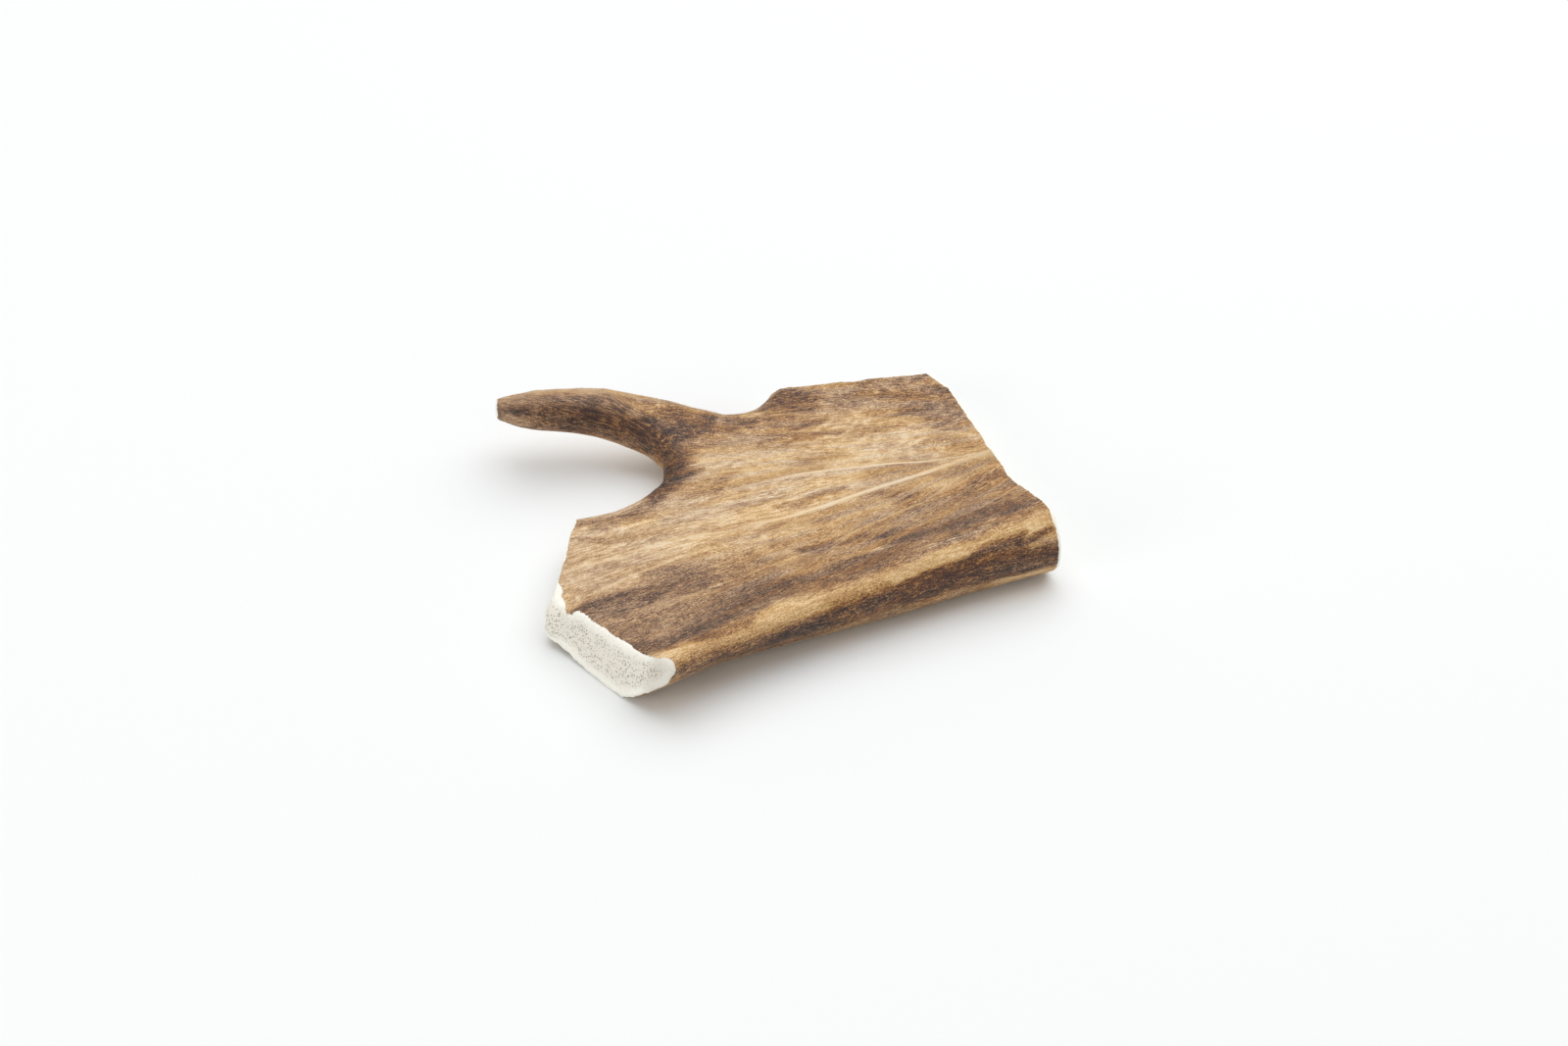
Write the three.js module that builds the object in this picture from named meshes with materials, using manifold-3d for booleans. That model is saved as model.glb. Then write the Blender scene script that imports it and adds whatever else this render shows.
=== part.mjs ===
// A sawn piece of fallow deer antler: a stretch of the flat palm with one tine growing from its back edge.
//
// Millimetres, +Z up. +X runs along the grain towards the thick beam end, and +Y across the palm towards the
// tine. The origin is the bottom centre of the whole piece's bounding box.
//
// The natural antler is drawn first, as two outlines seen from above and a few height functions. Its edges are
// as round as the antler is thick there. The saw then takes off both ends, two corners and the back.
import * as THREE from 'three';
import { mergeVertices } from 'three/addons/utils/BufferGeometryUtils.js';
import Module from 'manifold-3d';

const { smoothstep, lerp, clamp } = THREE.MathUtils;

// ---- Driving dimensions ------------------------------------------------------------------------------------

const PALM_THICKNESS = 11.8;      // at the origin, away from every edge
const PALM_FALL_X = 0.017;        // how much the top sinks per millimetre towards the beam end
const PALM_FALL_Y = 0.02;         // and per millimetre towards the back
const PALM_END_X = -60;
const BEAM_END_X = 56;
const ROLL = {                    // the thick front edge, at the palm end and at the beam end
  height: [3.4, 7.8],             // of its crest over the palm
  crestY: [-52, -38.5],
  width: [10, 17],                // how fast it falls away behind its crest
};
const BELLY_LIFT = 14;            // how far the underside of the front edge curls up at the palm end
const BELLY_LIFT_DEPTH = 19;      // how far in from the edge the curl begins
const BEAM_LIFT = 2;              // and how far it curls up at the beam end
const BELLY_HOLLOW = 0.8;         // the underside is a little hollow under its middle
const NOTCH_SIDE_LIFT = 4.5;      // and rises beside the notch, at the palm end
const TINE_RISE = 10.4;           // how far the tine's middle climbs out of the palm
const TINE_THICKNESS = 12.4;
const TINE_TAPER_START = 10;      // measured from the fork, along its normal
const TINE_TAPER_LENGTH = 34.5;
const FORK_GAP = 0.3;             // clearance between the two nodes

// The palm's front edge, from the palm end to the beam end.
const FRONT_EDGE = [
  [-85, -59], [-70, -55.5], [-59, -51.8], [-50, -49.4], [-36, -46.4], [-20, -44.9],
  [6, -44.4], [33, -45], [54, -46.4], [85, -49],
];

// The notch, up to its deepest point, where the tine begins.
const NOTCH_EDGE = [
  [-85, 25], [-62, 22.6], [-47.4, 22.2], [-35.4, 23.1], [-25.4, 26.4], [-18.2, 32.2], [-15.8, 38.5],
];

// The tine's lower edge, from the notch to the sawn tip, and its upper edge, from the bay behind it.
const TINE_LOWER_EDGE = [
  [-15.8, 38.5], [-17.8, 44.3], [-22.9, 48.9], [-31, 54], [-38.8, 57.3], [-46.6, 61.2], [-51.2, 65.9],
];
const TINE_UPPER_EDGE = [
  [7.5, 49.2], [-1.7, 53.6], [-13.7, 58.9], [-27.8, 65.5], [-39.6, 70], [-48.9, 70.9],
];

// The bay between the tine and the next one, which the saw has taken away.
const BAY_EDGE = [[7.5, 49.2], [12.8, 48.7], [18.6, 50.3], [24.2, 54.8], [28, 62], [29, 75]];

// Saw cuts. A cut is a point on its plane, the direction that it faces, in degrees from +X, and how far it
// leans back to face upwards.
const SAW_CUTS = [
  { at: [-65.6, -27], facing: 194, lean: 14 },  // palm end
  { at: [-58.8, 6.8], facing: 147, lean: 2 },   // its notch side
  { at: [61.2, -5], facing: -9, lean: 0 },      // beam end
  { at: [66.2, 36.8], facing: 14, lean: 0 },    // its back corner
  { at: [45, 47.6], facing: 74, lean: 0 },      // back edge
];

// Grid sizes. A cell is a little under 3 mm long.
const PALM_COLUMNS = [[-76, 22], [-15.8, 9], [7.5, 9], [27, 17], [74, 0]]; // from x, cells to the next x
const PALM_ROWS = 14;
const TINE_COLUMNS = 20;
const TINE_ROWS = 1;
const EDGE_ROWS = [0, 0.14, 0.42, 0.8, 1.25]; // rows close to an edge, in edge radii
const EDGE_RADIUS = 6.3;

// ---- Outlines seen from above ------------------------------------------------------------------------------

const curveOf = (points) => new THREE.SplineCurve(points.map(([x, y]) => new THREE.Vector2(x, y)));
const samplesOf = (points) => curveOf(points).getPoints(points.length * 12);

const frontLine = samplesOf(FRONT_EDGE);
const notchLine = samplesOf(NOTCH_EDGE);
const bayLine = samplesOf(BAY_EDGE);
const notchEnd = notchLine.at(-1);
const bayStart = bayLine[0];
const naturalLines = [frontLine, notchLine, bayLine, samplesOf(TINE_LOWER_EDGE), samplesOf(TINE_UPPER_EDGE)];

/** Distance from a point to the nearest natural edge. */
function edgeDistance(point) {
  let nearest = Infinity;
  const closest = new THREE.Vector3();
  const query = new THREE.Vector3(point.x, point.y, 0);
  const segment = new THREE.Line3();
  for (const line of naturalLines) {
    for (let i = 1; i < line.length; i += 1) {
      segment.start.set(line[i - 1].x, line[i - 1].y, 0);
      segment.end.set(line[i].x, line[i].y, 0);
      segment.closestPointToPoint(query, true, closest);
      nearest = Math.min(nearest, closest.distanceTo(query));
    }
  }
  return nearest;
}

/** The y at which a line that runs towards +X passes x. */
function lineAt(line, x) {
  const after = line.findIndex((p) => p.x >= x);
  if (after < 1) return (after === 0 ? line[0] : line.at(-1)).y;
  const [a, b] = [line[after - 1], line[after]];
  return lerp(a.y, b.y, (x - a.x) / (b.x - a.x));
}

// ---- Heights -----------------------------------------------------------------------------------------------

const forkNormal = new THREE.Vector2(notchEnd.y - bayStart.y, bayStart.x - notchEnd.x).normalize();
const beyondFork = (p) => forkNormal.dot(new THREE.Vector2(p.x - notchEnd.x, p.y - notchEnd.y));

function palmTop(p) {
  const along = clamp((p.x - PALM_END_X) / (BEAM_END_X - PALM_END_X), -0.2, 1.2);
  const [height, crestY, width] = [ROLL.height, ROLL.crestY, ROLL.width].map(([a, b]) => lerp(a, b, along));
  const roll = height * Math.exp(-(((p.y - crestY) / width) ** 2));
  return PALM_THICKNESS - PALM_FALL_X * p.x - PALM_FALL_Y * p.y + roll;
}

function palmBottom(p) {
  const along = clamp((BEAM_END_X - p.x) / (BEAM_END_X - PALM_END_X), 0, 1.1);
  const inset = clamp((p.y - lineAt(frontLine, p.x)) / BELLY_LIFT_DEPTH, 0, 1);
  const hollow = BELLY_HOLLOW * Math.exp(-((p.x / 32) ** 2) - (((p.y - 4) / 22) ** 2));
  const notchSide = NOTCH_SIDE_LIFT * (1 - smoothstep(p.x, -66, -28)) * smoothstep(p.y, -29, 16);
  const curl = BELLY_LIFT * along ** 2 + BEAM_LIFT * smoothstep(p.x, 0, BEAM_END_X);
  return curl * (1 - inset) ** 1.7 + hollow + notchSide;
}

/** Height of the antler's middle and half its thickness, before its edges are rounded. */
function bodyAt(p) {
  const f = beyondFork(p);
  const top = palmTop(p);
  const bottom = palmBottom(p);
  const taper = clamp((f - TINE_TAPER_START) / TINE_TAPER_LENGTH, 0, 0.95);
  const tineHalf = (TINE_THICKNESS / 2) * Math.sqrt(1 - taper ** 2);
  return {
    middle: (top + bottom) / 2 + TINE_RISE * smoothstep(f, -9, 29),
    half: lerp((top - bottom) / 2, tineHalf, smoothstep(f, -6, 10)),
  };
}

/** Height of the surface at a point of the plan: side is 1 for the top and -1 for the underside. */
function heightAt(p, side) {
  const { middle, half } = bodyAt(p);
  const inset = clamp(edgeDistance(p) / half + 0.02, 0, 1);
  return middle + side * half * Math.sqrt(1 - (1 - inset) ** 2);
}

// ---- Solids ------------------------------------------------------------------------------------------------

/** Shares of the way across, close together near both edges. */
function rowsAcross(width, inner, startRounded, endRounded) {
  const near = EDGE_ROWS.map((r) => (r * EDGE_RADIUS) / width).filter((r) => r < 0.42);
  const start = startRounded ? near : [0];
  const end = endRounded ? near : [0];
  const from = start.at(-1);
  const to = 1 - end.at(-1);
  const middle = Array.from({ length: inner - 1 }, (_, i) => lerp(from, to, (i + 1) / inner));
  return [...start, ...middle, ...end.map((r) => 1 - r).reverse()];
}

/** A closed slab over a grid of plan points: a box whose vertices are moved onto the antler's two surfaces. */
function slabOver(grid) {
  const columns = grid.length - 1;
  const rows = grid[0].length - 1;
  const box = new THREE.BoxGeometry(columns, rows, 2, columns, rows, 1);
  box.deleteAttribute('normal');
  box.deleteAttribute('uv');
  const slab = mergeVertices(box);
  const { position } = slab.attributes;
  for (let i = 0; i < position.count; i += 1) {
    const column = Math.round(position.getX(i) + columns / 2);
    const row = Math.round(position.getY(i) + rows / 2);
    const p = grid[column][row];
    position.setXYZ(i, p.x, p.y, heightAt(p, Math.sign(position.getZ(i))));
  }
  return slab;
}

function palmGrid() {
  const xs = PALM_COLUMNS.flatMap(([x, cells], i) =>
    Array.from({ length: cells }, (_, k) => lerp(x, PALM_COLUMNS[i + 1][0], k / cells)));
  xs.push(PALM_COLUMNS.at(-1)[0]);
  const backAt = (x) => {
    if (x <= notchEnd.x) return lineAt(notchLine, x);
    if (x < bayStart.x) return lerp(notchEnd.y, bayStart.y, (x - notchEnd.x) / (bayStart.x - notchEnd.x));
    return x < 27 ? lineAt(bayLine, x) : lineAt(bayLine, 27);
  };
  return xs.map((x) => {
    const front = lineAt(frontLine, x);
    const back = backAt(x);
    const shares = rowsAcross(back - front, PALM_ROWS, true, true);
    return shares.map((share) => new THREE.Vector2(x, lerp(front, back, share)));
  });
}

function tineGrid() {
  const lower = curveOf(TINE_LOWER_EDGE);
  const upper = curveOf(TINE_UPPER_EDGE);
  const shares = rowsAcross(2 * EDGE_RADIUS, TINE_ROWS, true, true);
  const offFork = forkNormal.clone().multiplyScalar(FORK_GAP);
  return Array.from({ length: TINE_COLUMNS + 1 }, (_, i) => {
    const along = i / TINE_COLUMNS;
    const low = lower.getPointAt(along);
    const high = upper.getPointAt(along);
    const gap = 1 - along;
    return shares.map((share) => high.clone().lerp(low, share).addScaledVector(offFork, gap));
  });
}

const wasm = await Module();
wasm.setup();

function solidOf(geometry) {
  return new wasm.Manifold(new wasm.Mesh({
    numProp: 3,
    vertProperties: new Float32Array(geometry.attributes.position.array),
    triVerts: new Uint32Array(geometry.index.array),
  }));
}

function geometryOf(solid) {
  const { vertProperties, triVerts } = solid.getMesh();
  const geometry = new THREE.BufferGeometry();
  geometry.setAttribute('position', new THREE.BufferAttribute(vertProperties, 3));
  geometry.setIndex(new THREE.BufferAttribute(triVerts, 1));
  return geometry;
}

/** What the saw takes away: a block on the outer side of the cut's plane. */
function sawBlock({ at, facing, lean }) {
  const size = 160;
  const block = new THREE.BoxGeometry(size, size, size).translate(size / 2, 0, 0);
  block.deleteAttribute('normal');
  block.deleteAttribute('uv');
  const merged = mergeVertices(block);
  merged.rotateY(-THREE.MathUtils.degToRad(lean));
  merged.rotateZ(THREE.MathUtils.degToRad(facing));
  return solidOf(merged.translate(at[0], at[1], 0));
}

const sawn = (geometry) => geometryOf(
  SAW_CUTS.reduce((solid, cut) => solid.subtract(sawBlock(cut)), solidOf(geometry)),
);

// ---- The object --------------------------------------------------------------------------------------------

const bark = new THREE.MeshStandardMaterial({ color: '#9b7450', roughness: 0.62, metalness: 0 });
const darkBark = new THREE.MeshStandardMaterial({ color: '#6f4f38', roughness: 0.6, metalness: 0 });

function namedMesh(name, geometry, material) {
  const mesh = new THREE.Mesh(geometry, material);
  mesh.name = name;
  return mesh;
}

const antler = new THREE.Group();
antler.add(namedMesh('palm', sawn(slabOver(palmGrid())), bark));
antler.add(namedMesh('tine', slabOver(tineGrid()), darkBark));

const bounds = new THREE.Box3().setFromObject(antler);
const centre = bounds.getCenter(new THREE.Vector3());
antler.position.set(-centre.x, -centre.y, -bounds.min.z);

export default antler;
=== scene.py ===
"""A sawn piece of deer antler: one seamless body with stained, ridged bark and porous saw cuts.

Lengths in the tables are millimetres in the part's own frame: +X along the grain towards the thick beam end,
+Y across the palm towards the tine, +Z up.
"""

import functools
import math

import bmesh
import bpy
import numpy as np
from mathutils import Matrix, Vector, noise
from mathutils.bvhtree import BVHTree
from mathutils.kdtree import KDTree


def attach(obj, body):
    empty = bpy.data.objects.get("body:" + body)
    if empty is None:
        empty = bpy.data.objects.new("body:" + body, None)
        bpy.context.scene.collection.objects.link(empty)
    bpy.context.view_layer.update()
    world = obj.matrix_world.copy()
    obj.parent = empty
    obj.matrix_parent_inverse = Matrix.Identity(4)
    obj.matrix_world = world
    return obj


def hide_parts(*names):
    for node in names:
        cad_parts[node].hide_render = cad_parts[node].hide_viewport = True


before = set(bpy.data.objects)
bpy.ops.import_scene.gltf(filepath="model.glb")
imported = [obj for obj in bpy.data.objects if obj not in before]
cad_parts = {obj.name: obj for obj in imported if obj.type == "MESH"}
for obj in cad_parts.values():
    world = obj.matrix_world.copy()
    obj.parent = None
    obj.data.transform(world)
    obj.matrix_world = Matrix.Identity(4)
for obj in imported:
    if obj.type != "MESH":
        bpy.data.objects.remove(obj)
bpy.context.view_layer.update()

MM = 0.001

# ---- Where things lie on the antler ------------------------------------------------------------------------

# The fork between palm and tine: a point on it, and the direction in which the tine leaves.
FORK_AT = np.array([-14.7, 28.5])
FORK_OUT = np.array([-0.417, 0.909])

# Saw cuts: a point on the plane, the direction that it faces from +X, and how far it leans back to face up.
PALM_CUTS = [
    ((-64.5, -37.0), 194, 14),  # palm end
    ((-57.7, -3.2), 147, 2),    # its notch side
    ((62.3, -15.0), -9, 0),     # beam end
    ((67.3, 26.8), 14, 0),      # its back corner
    ((46.1, 37.6), 74, 0),      # back edge
]
TINE_CUT = ((-48.9, 58.4), 155.3, 0)

# The grain line that leaves the palm along the tine's lower edge: its y at some x.
TINE_EDGE = [(-60, 64), (-49, 56.6), (-38, 47.5), (-22, 38.5), (-14.7, 29), (-5, 26)]
TINE_SHARE = 40

# Lines that the grain follows, from the front edge to the back of the tine: the share of the way across that
# each one stands for, and its y at some x.
GRAIN_LINES = [
    (-60, [(-70, -65), (-58, -61.8), (-49, -59.4), (-35, -56.4), (-19, -54.9), (7, -54.4), (34, -55),
           (55, -56.4), (70, -58)]),
    (-50, [(-70, -61), (-49, -57.3), (-43, -55.5), (-31, -53.2), (-20, -51.9), (7, -51), (24, -50),
           (70, -50)]),
    (-38, [(-60, -48), (-30, -44), (-5, -42), (26, -37), (44, -35), (57, -34), (70, -33)]),
    (-22, [(-70, -34), (-48, -33), (-30, -32), (-13, -30), (3, -29), (15, -26), (27, -24), (41, -20),
           (56, -15.4), (62, -13.6), (70, -12)]),
    (0, [(-70, -10), (-32, -10), (-23, -10.4), (-16, -12), (0, -13), (11, -13), (23, -12), (35, -11),
         (52, -10.4), (62, -10.6), (70, -10.6)]),
    (14, [(-70, 5), (-60, 6), (-30, 7), (-8, 5.4), (5, 4), (13, 3), (21, 1), (29, -1), (36, -3.2),
          (43, -5.6), (51, -7.8), (61, -9.2), (70, -9.2)]),
    (TINE_SHARE, TINE_EDGE + [(5, 22), (15, 18), (30, 12), (45, 8), (60, 4), (70, 4)]),
    (50, [(-60, 67), (-47, 58.6), (-40, 54.5), (-30, 50.2), (-20, 45), (-10, 40.5), (0, 36.5), (10, 33),
          (25, 27), (40, 22), (55, 18), (70, 14)]),
    (60, [(-60, 70), (-47.3, 61.5), (-38.5, 60), (-26.7, 55.5), (-12.6, 48.9), (0, 43.2), (10, 39.5),
          (26, 41.5), (40, 37), (62, 28), (70, 27)]),
]

# Raised pale lines: the y of each at some x, how strongly each stands out at some x, and half its width.
RIDGES = [
    ("main",
     [(-70, -10), (-57, -10), (-48, -10), (-32, -10), (-23, -10), (-16, -12), (-5, -12.3), (0, -13),
      (11, -13), (23, -12), (35, -11.4), (47, -10.5), (52, -10.3), (62, -10.3)],
     [(-62, 0.1), (-48, 0.55), (-36, 0.35), (-16, 0.4), (-4, 0.8), (11, 1), (40, 1), (52, 0.6), (64, 0.8)],
     0.85),
    ("upper",
     [(-8, 5), (5, 4), (13, 3), (21, 1), (29, -1), (36, -3), (43, -6), (51, -8), (61, -10)],
     [(-16, 0), (0, 0.4), (13, 0.6), (22, 1), (40, 1), (52, 0.8), (62, 0.9)],
     0.55),
    ("lower",
     [(-60, -34), (-38, -33), (-30, -32), (-20, -31), (-9, -30), (3, -29), (15, -26), (27, -24), (34, -23),
      (41, -20), (48, -17), (56, -15), (62, -13)],
     [(-45, 0), (-30, 0.35), (-20, 0.2), (-9, 0.35), (3, 0.2), (9, 0.35), (21, 0.3), (30, 0.5), (44, 0.35),
      (52, 0.25), (62, 0.35)],
     0.4),
    ("short",
     [(-60, -21), (-52, -20), (-46, -19), (-39, -18), (-32, -17), (-25, -17), (-18, -16)],
     [(-58, 0), (-50, 0.6), (-38, 0.6), (-26, 0.4), (-21, 0)],
     0.4),
    ("beam side",
     [(20, -38), (26, -37), (37, -36), (44, -35), (51, -33), (57, -31), (64, -30)],
     [(20, 0), (28, 0.2), (44, 0.3), (57, 0.35), (64, 0.3)],
     0.45),
    ("bay side",
     [(36, 20), (44, 17), (48, 14), (53, 6), (61, -1), (66, -3)],
     [(36, 0), (44, 0.2), (49, 0.4), (58, 0.5), (66, 0.3)],
     0.6),
]

# Stains of each kind, with some strokes that are painted highlight and painted shade: the strength and
# half-width of each stroke, and the points that it runs through.
STAINS_AND_PAINTED_LIGHT = {
    "pale": [
        # On the tine and its root.
        # Painted highlight: these five pale strokes lie along the tine's upper side, where light falls on its
        # top.
        (0.85, 1.3, [(-31.9, 53.4, 20.9), (-28.0, 50.8, 21.2), (-23.5, 48.1, 20.6), (-19.1, 45.6, 19.6),
            (-15.3, 43.5, 18.4)]),
        (0.35, 1.1, [(-46.6, 55.6, 20.1), (-41.1, 54.0, 21.0), (-34.4, 54.1, 21.0)]),
        (0.6, 1.2, [(-47, 58.5, 20.5), (-40, 57, 21.3), (-32, 54.5, 21.3)]),
        (0.6, 1.0, [(-24, 49.5, 21), (-19, 47.5, 20), (-15, 45.5, 19)]),
        (0.45, 1.1, [(-42, 57.5, 21), (-34, 54.5, 21.3), (-27, 51.5, 21.3), (-20, 48, 20)]),
        # On the palm behind its main ridge.
        (0.5, 3.1, [(6, 16, 11), (8, 12, 11)]),
        (0.4, 2.4, [(5, 14, 11), (10, 11, 11)]),
        (0.75, 2.4, [(18, -5, 11), (22, -4, 11), (24, -6, 11)]),
        (0.35, 1.9, [(49, -5, 11), (55, -8, 11), (61, -10, 11)]),
        # These two broad pale strokes are partly painted light, where the back half of the palm faces up to
        # the light, and partly its paler bark.
        (0.55, 8.0, [(-10, -6, 12), (10, 1, 11), (32, 3, 11)]),
        (0.4, 9.0, [(-2, 17, 11), (13, 14, 11), (32, 11, 11)]),
        (0.5, 2.5, [(-9, 23, 11), (-4, 22, 11)]),
        # On the palm before its main ridge.
        (0.3, 9.0, [(-50, -3, 13), (-44, -13, 13), (-51, -17, 13)]),
        (0.8, 1.3, [(38, -34.5, 14), (44, -33.5, 14)]),
        (0.5, 1.6, [(-25, -36, 13), (-20, -36, 13)]),
        # On the thick front edge.
        (0.7, 0.6, [(36.1, -54.2, 5.4), (44.5, -55.0, 5.7), (51.2, -55.7, 6.2)]),
        (0.7, 0.7, [(-28.0, -53.6, 7.6), (-17.7, -52.8, 6.4), (-7.3, -52.8, 6.1), (8.1, -53.4, 6.2),
            (16.8, -53.9, 6.8), (28.0, -54.3, 6.6), (43.0, -55.0, 6.1), (52.1, -55.5, 5.5)]),
        (0.6, 0.8, [(17, -51.7, 16.5), (25, -51.3, 17.0), (33, -51, 17.5)]),
    ],
    "gold": [
        # On the palm behind its main ridge.
        (0.4, 1.7, [(-35, 3, 12), (-32, -1, 12)]),
        # On the palm before its main ridge.
        (0.45, 1.2, [(-64.3, -15.6, 13.0), (-65.3, -20.2, 13.0)]),
        (0.3, 3.2, [(-24, -16, 12), (-13, -17, 12)]),
        # On the thick front edge.
        (0.8, 0.6, [(23.9, -53.4, 14.6), (33.1, -53.7, 14.5), (41.5, -54.4, 14.0), (49.1, -54.5, 14.4)]),
        (0.95, 3.2, [(-54, -57.5, 14.5), (-49, -55.5, 14.5), (-42, -54.5, 15), (-35.9, -54, 14.5),
            (-28, -53.5, 15), (-20, -51.5, 15.3)]),
        (0.95, 2.3, [(-20, -52.3, 15.3), (-10, -53, 15.3), (0, -53, 15.5), (13, -52.8, 15.7),
            (23, -51.8, 16.6)]),
        (0.95, 2.0, [(23, -51.8, 16.6), (36, -51.4, 17.4), (50, -51.3, 18), (60, -51.5, 18)]),
        (0.8, 1.0, [(22, -54, 13.8), (32, -54.2, 14.2), (42, -54.6, 14)]),
    ],
    "brown": [
        # On the tine and its root.
        (0.8, 1.8, [(-41, 49, 16), (-34, 46, 15), (-27, 42, 14), (-21, 38, 12), (-17, 35, 10), (-15, 30, 9),
            (-17, 22, 9), (-21, 13, 12), (-24, 9, 12)]),
        (0.6, 2.3, [(-38, 49, 20), (-30, 47, 20), (-23, 44, 19), (-16, 41, 17), (-11, 37, 15),
            (-7, 34, 13)]),
        (0.7, 1.4, [(-12.5, 42.8, 17.7), (-7.9, 40.5, 16.0), (-3.3, 38.1, 14.2), (1.4, 36.2, 12.3),
            (5.2, 34.5, 11.6)]),
        (0.55, 6.0, [(-50, 55, 16), (-36, 49, 16), (-24, 44, 15), (-12, 38, 13), (-4, 33, 12)]),
        (0.5, 1.6, [(-34, 49, 21), (-26, 46, 21)]),
        (0.5, 2.2, [(-48, 56, 17), (-42, 52.5, 17)]),
        (0.4, 2.0, [(-49, 55, 16), (-42, 51, 15.5), (-34, 47, 14.5), (-28, 43.5, 13)]),
        # Painted shade: this stroke darkens the tine's underside along its lower edge, where it turns away
        # from the light.
        (0.7, 1.8, [(-46, 52, 13), (-38, 46, 12.5), (-30, 42, 11), (-24, 38, 10), (-19, 34, 8.5)]),
        (0.45, 1.4, [(-44, 54.5, 20.5), (-36, 52, 21), (-28, 49, 21), (-20, 44.5, 19.5)]),
        # On the palm behind its main ridge.
        (0.6, 1.7, [(8, 34, 11), (13, 31, 11), (18, 32, 11)]),
        (0.5, 1.4, [(-12.4, 12.3, 11.6), (-8.6, 9.9, 11.6)]),
        (0.45, 1.2, [(-50.6, 1.2, 12.5), (-44.8, -2.6, 12.4), (-40.1, -4.0, 12.4)]),
        (0.5, 1.8, [(11, 20, 11), (14, 17, 11)]),
        (0.5, 2.3, [(15, 30, 11), (16, 23, 11), (19, 19, 11)]),
        (0.6, 1.2, [(6.8, -9.2, 11.7), (11.5, -7.2, 11.6), (18.3, -7.3, 11.5)]),
        (0.5, 1.2, [(47.2, 35.6, 10.1), (50.4, 33.4, 10.1)]),
        (0.5, 1.2, [(57.1, 31.8, 10.0), (60.3, 28.5, 10.0)]),
        (0.75, 6.1, [(51, 30, 10), (55, 24, 10), (58, 18, 10), (62, 12, 10), (64, 8, 10)]),
        (0.5, 1.6, [(51.3, 0.9, 10.7), (58.3, -4.2, 10.7)]),
        (0.5, 0.7, [(-48.6, 8.1, 12.6), (-43.7, 7.3, 12.3), (-38.9, 6.2, 12.1), (-34.6, 7.5, 12.0)]),
        (0.4, 8.0, [(40, 34, 11), (56, 28, 11)]),
        (0.4, 6.0, [(-10, 30, 12), (2, 30, 12), (14, 28, 11), (24, 30, 11)]),
        (0.5, 1.8, [(37, 14, 11), (45, 12, 11)]),
        (0.4, 1.6, [(-44, 4, 12), (-34, 4, 12)]),
        (0.5, 2.0, [(60, 22, 10), (67, 18, 10)]),
        (0.4, 1.6, [(-6, 6, 12), (4, 5, 12)]),
        (0.5, 1.5, [(-45, 4, 12.3), (-39, 4, 12), (-33, 4.5, 12)]),
        (0.3, 5.0, [(2, 24, 11), (14, 20, 11)]),
        (0.42, 3.0, [(30, -5, 11), (36, -6, 11), (42, -6.5, 11)]),
        (0.4, 1.4, [(-15, 9, 11.7), (-10, 7.5, 11.7)]),
        (0.3, 1.4, [(8, 6, 11.3), (12, 5, 11.3), (16, 4, 11.2)]),
        (0.35, 1.2, [(-16, 6.5, 12), (-10, 5.5, 12)]),
        (0.4, 1.6, [(18, 7.5, 11), (22, 7, 11), (26, 6.5, 11)]),
        # On the palm before its main ridge.
        (0.5, 1.0, [(-7.8, -15.1, 12.1), (-1.6, -14.7, 11.9)]),
        (0.45, 1.3, [(5.5, -17.5, 11.9), (8.7, -18.6, 11.9)]),
        (0.8, 3.9, [(-36, -24, 13), (-30, -25, 13), (-23, -27, 13), (-17, -30, 13)]),
        (0.75, 4.2, [(-16, -38, 13), (-13, -40, 14), (-9, -43, 15)]),
        (0.45, 1.3, [(-24.4, -22.0, 12.5), (-17.9, -23.2, 12.4), (-14.5, -26.0, 12.4)]),
        (0.65, 1.6, [(50.6, -13.5, 11.1), (56.3, -13.1, 11.0), (61.4, -14.3, 11.1)]),
        (0.8, 3.0, [(53, -19, 11), (57, -22, 12), (58, -28, 13)]),
        (0.5, 1.4, [(43.7, -12.7, 11.2), (46.3, -14.6, 11.2)]),
        (0.9, 5.8, [(23, -40, 15), (26, -40, 15), (30, -39, 15), (37, -39, 16), (45, -38, 16),
            (52, -41, 17)]),
        (0.6, 2.5, [(31, -23, 12), (40, -22, 12), (45, -25, 12), (50, -25, 12)]),
        (0.7, 3.2, [(-60, -27, 13), (-52, -26, 13), (-45, -27, 13), (-37, -27, 13), (-32, -28, 13),
            (-27, -30, 13)]),
        (0.6, 2.8, [(-30, -25, 13), (-26, -28, 13), (-23, -33, 13)]),
        (0.5, 1.6, [(-40, -18, 13), (-35, -19, 13), (-30, -22, 13)]),
        (0.78, 4.6, [(-60, -37, 13), (-53, -36, 13), (-47, -39, 13), (-40, -39, 13), (-32, -39, 13),
            (-22, -41, 14), (-15, -42, 14), (-8, -44, 15)]),
        # These two broad brown strokes are partly painted shade, where the front half of the palm slopes away
        # from the light, and partly its browner bark.
        (0.5, 9.0, [(60, -33, 15), (34, -34, 14), (10, -35, 13)]),
        (0.2, 5.5, [(4, -37, 13), (-9, -39, 14), (-27, -43, 14)]),
        (0.45, 1.8, [(-42, -31, 13), (-32, -31, 13)]),
        (0.45, 1.6, [(-7, -23, 12), (3, -23, 12)]),
        (0.5, 5.0, [(-58, -40, 13), (-45, -38, 13), (-30, -37, 13)]),
        (0.6, 2.2, [(47, -22, 12), (57, -22, 12), (62, -22, 12)]),
        (0.6, 1.8, [(-58, -30, 13), (-51, -30, 13), (-44, -30.5, 13)]),
        (0.55, 1.7, [(9, -17, 12), (15, -16.2, 12), (22, -15.8, 12)]),
        (0.25, 3.0, [(5, -26, 12), (15, -24, 12), (26, -23, 12), (36, -20, 12)]),
        (0.5, 1.0, [(-24, -15.5, 12.3), (-20, -15.5, 12.2), (-17, -15, 12.1)]),
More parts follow.
